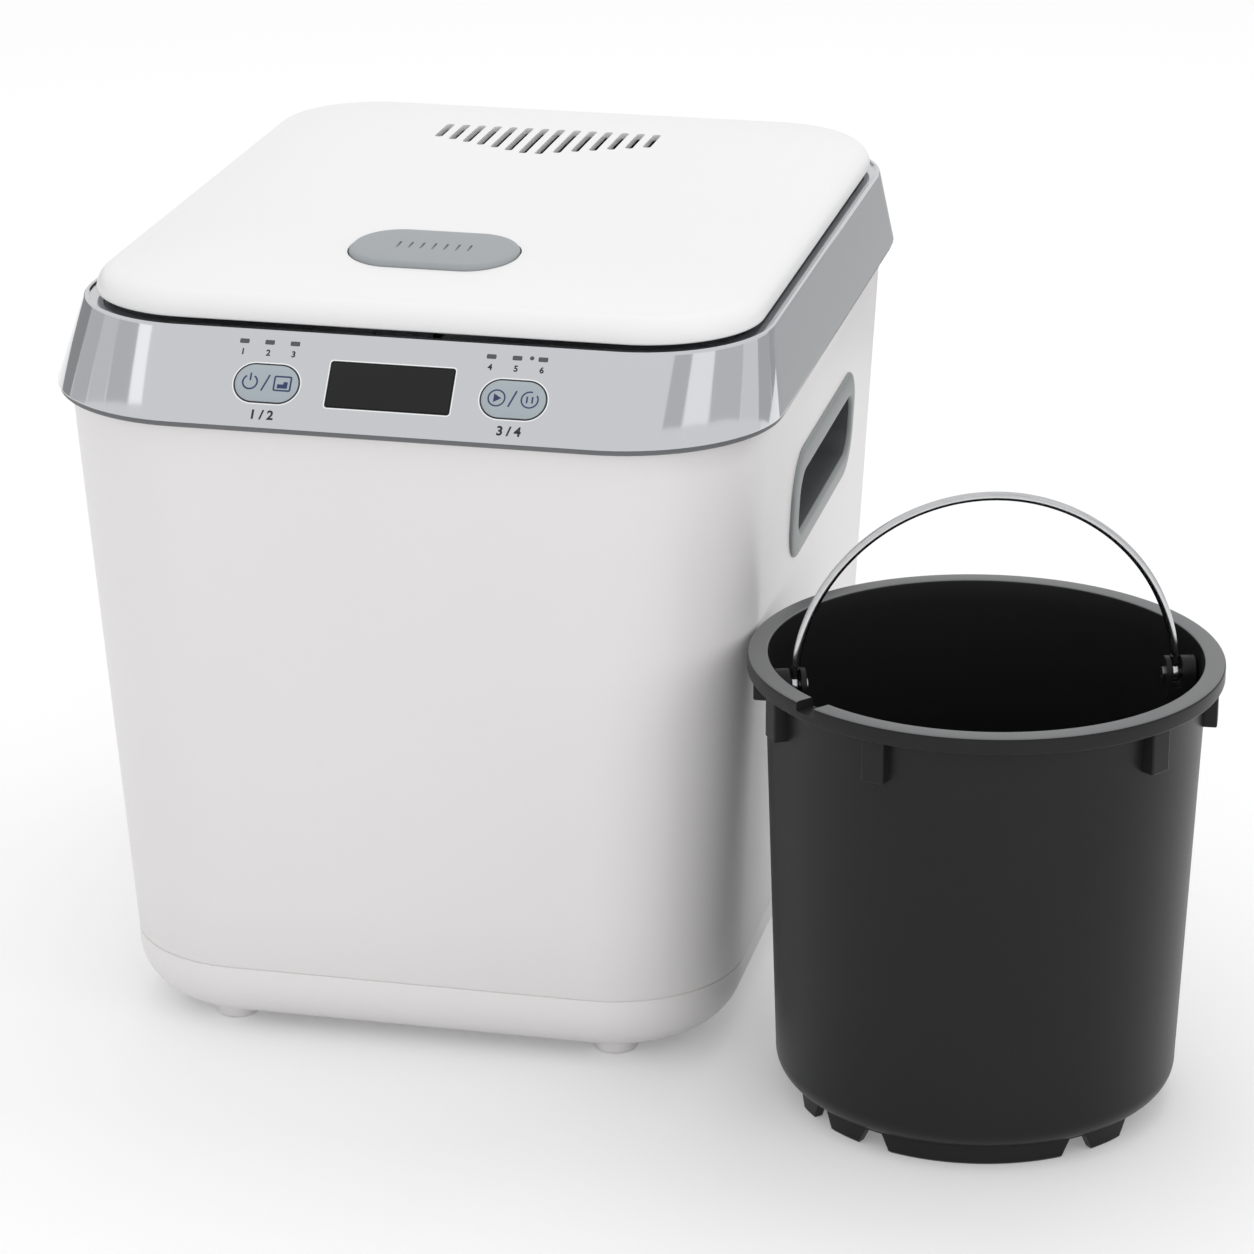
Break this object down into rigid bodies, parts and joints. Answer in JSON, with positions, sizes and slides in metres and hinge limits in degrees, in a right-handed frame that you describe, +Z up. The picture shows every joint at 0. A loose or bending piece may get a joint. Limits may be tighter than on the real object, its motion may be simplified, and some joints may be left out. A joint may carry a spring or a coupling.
{
  "type": "electric food waste composter",
  "caption": "Electric food waste composter: white housing with a sloping silver control panel, hinged lid, geared stirring drive and fan, and a black lift-out bucket with a wire bail",
  "frame": {"origin": "on the floor, midway between the four feet lines of the machine, under the middle of its widest line", "axes": "+X to the right of the machine seen from its control panel, +Y to its back, +Z up"},
  "size_m": [0.4471, 0.401, 0.3111],
  "materials": {
    "body_white": "satin",
    "lid_white": "satin",
    "silver_trim": "gloss silver",
    "strip_grey": "matte",
    "deck_grey": "matte",
    "window_black": "gloss",
    "display_dark": "matte",
    "lens_dark": "gloss",
    "board_green": "matte",
    "key_blue_grey": "satin",
    "lid_button_grey": "satin",
    "bezel_grey": "satin",
    "liner_metal": "brushed",
    "rubber_black": "matte",
    "bucket_black": "satin black",
    "agitator_grey": "coated",
    "bail_chrome": "polished",
    "dark_plastic": "matte",
    "carbon_black": "matte",
    "gear_nylon": "natural",
    "brass": "bare",
    "cast_alloy": "cast",
    "steel": "zinc plated"
  },
  "bodies": {
    "machine": {"body_shell": "body_white", "base_cover": "body_white", "foot_pads": "body_white", "base_screws": "steel", "chassis_plate": "steel", "frame_posts": "steel", "trim_ring": "silver_trim", "trim_strip": "strip_grey", "top_deck": "deck_grey", "display_window": "window_black", "display_module": "display_dark", "indicator_lenses": "lens_dark", "indicator_dot": "lens_dark", "panel_board": "board_green", "panel_switches": "dark_plastic", "handle_cups": "bezel_grey", "chamber_liner": "liner_metal", "heater_plate": "liner_metal", "temperature_sensor": "brass", "gearbox_housing": "cast_alloy", "gearbox_cover": "cast_alloy", "shaft_bearings": "steel", "shaft_seal": "rubber_black", "intermediate_shaft": "steel", "motor_body": "steel", "air_duct": "dark_plastic", "fan_housing": "dark_plastic", "filter_bay": "dark_plastic", "power_board": "board_green", "power_inlet": "dark_plastic", "inlet_pins": "brass", "lid_switch": "dark_plastic", "hinge_brackets": "steel", "hinge_pin": "steel"},
    "lid": {"lid_shell": "lid_white", "lid_liner": "deck_grey", "lid_gasket": "rubber_black", "hinge_arm": "steel", "lid_button_spring": "steel"},
    "lid_button": {"lid_button": "lid_button_grey"},
    "latch_hook": {"latch_hook": "steel"},
    "power_button": {"power_button": "key_blue_grey"},
    "enter_button": {"enter_button": "key_blue_grey"},
    "drive": {"drive_shaft": "steel", "output_gear": "gear_nylon", "drive_coupling": "dark_plastic"},
    "intermediate_gear": {"intermediate_gear": "gear_nylon"},
    "motor_rotor": {"motor_shaft": "steel", "motor_pinion": "brass"},
    "fan_rotor": {"fan_rotor": "dark_plastic"},
    "filter_tray": {"filter_tray": "body_white", "filter_cartridge": "carbon_black"},
    "bucket": {"bucket_shell": "bucket_black", "bail_ears": "bucket_black", "ear_rivets": "steel", "shaft_bush": "gear_nylon"},
    "bail": {"bail_wire": "bail_chrome"},
    "agitator": {"agitator": "agitator_grey", "agitator_shaft": "steel", "bucket_coupling": "dark_plastic"}
  },
  "joints": [
    {"name": "lid_hinge", "type": "hinge", "parent": "machine", "child": "lid", "pos_m": [0, 0.1685, 0.2943], "axis": [-1, 0, 0], "range_deg": [0, 80]},
    {"name": "lid_button_press", "type": "slide", "parent": "lid", "child": "lid_button", "axis": [0, 0, -1], "range_m": [0, 0.003], "stiffness_N_per_m": 400, "deforming": ["lid_button_spring"]},
    {"name": "latch_hook_slide", "type": "slide", "parent": "lid", "child": "latch_hook", "axis": [0, 1, 0], "range_m": [0, 0.003]},
    {"name": "power_button_press", "type": "slide", "parent": "machine", "child": "power_button", "axis": [0, 0.7733, -0.6341], "range_m": [0, 0.0008], "stiffness_N_per_m": 600, "springref_m": -0.0005},
    {"name": "enter_button_press", "type": "slide", "parent": "machine", "child": "enter_button", "axis": [0, 0.7733, -0.6341], "range_m": [0, 0.0008], "stiffness_N_per_m": 600, "springref_m": -0.0005},
    {"name": "drive_spin", "type": "hinge", "parent": "machine", "child": "drive", "pos_m": [0, -0.034, 0.09], "axis": [0, 0, 1], "continuous": true},
    {"name": "intermediate_spin", "type": "hinge", "parent": "machine", "child": "intermediate_gear", "pos_m": [0, 0.01237, 0.085], "axis": [0, 0, 1], "continuous": true},
    {"name": "motor_spin", "type": "hinge", "parent": "machine", "child": "motor_rotor", "pos_m": [0, 0.04349, 0.08], "axis": [0, 0, 1], "continuous": true},
    {"name": "fan_spin", "type": "hinge", "parent": "machine", "child": "fan_rotor", "pos_m": [0, 0.0675, 0.212], "axis": [0, 1, 0], "continuous": true},
    {"name": "filter_tray_slide", "type": "slide", "parent": "machine", "child": "filter_tray", "axis": [0, 1, 0], "range_m": [0, 0.085]},
    {"name": "bucket_lift", "type": "slide", "parent": "machine", "child": "bucket", "axis": [0.342, 0, 0.9397], "range_m": [0, 0.3]},
    {"name": "bail_hinge", "type": "hinge", "parent": "bucket", "child": "bail", "pos_m": [0.2186, -0.131, 0.166], "axis": [0.9511, 0.309, 0], "range_deg": [-90, 90]},
    {"name": "agitator_spin", "type": "hinge", "parent": "bucket", "child": "agitator", "pos_m": [0.2186, -0.131, 0.05], "axis": [0, 0, 1], "continuous": true}
  ],
  "couplings": [
    {"joint": "latch_hook_slide", "follows": "lid_button_press", "ratio": 1},
    {"joint": "intermediate_spin", "follows": "drive_spin", "ratio": -4.2857},
    {"joint": "motor_spin", "follows": "drive_spin", "ratio": 14.694}
  ]
}
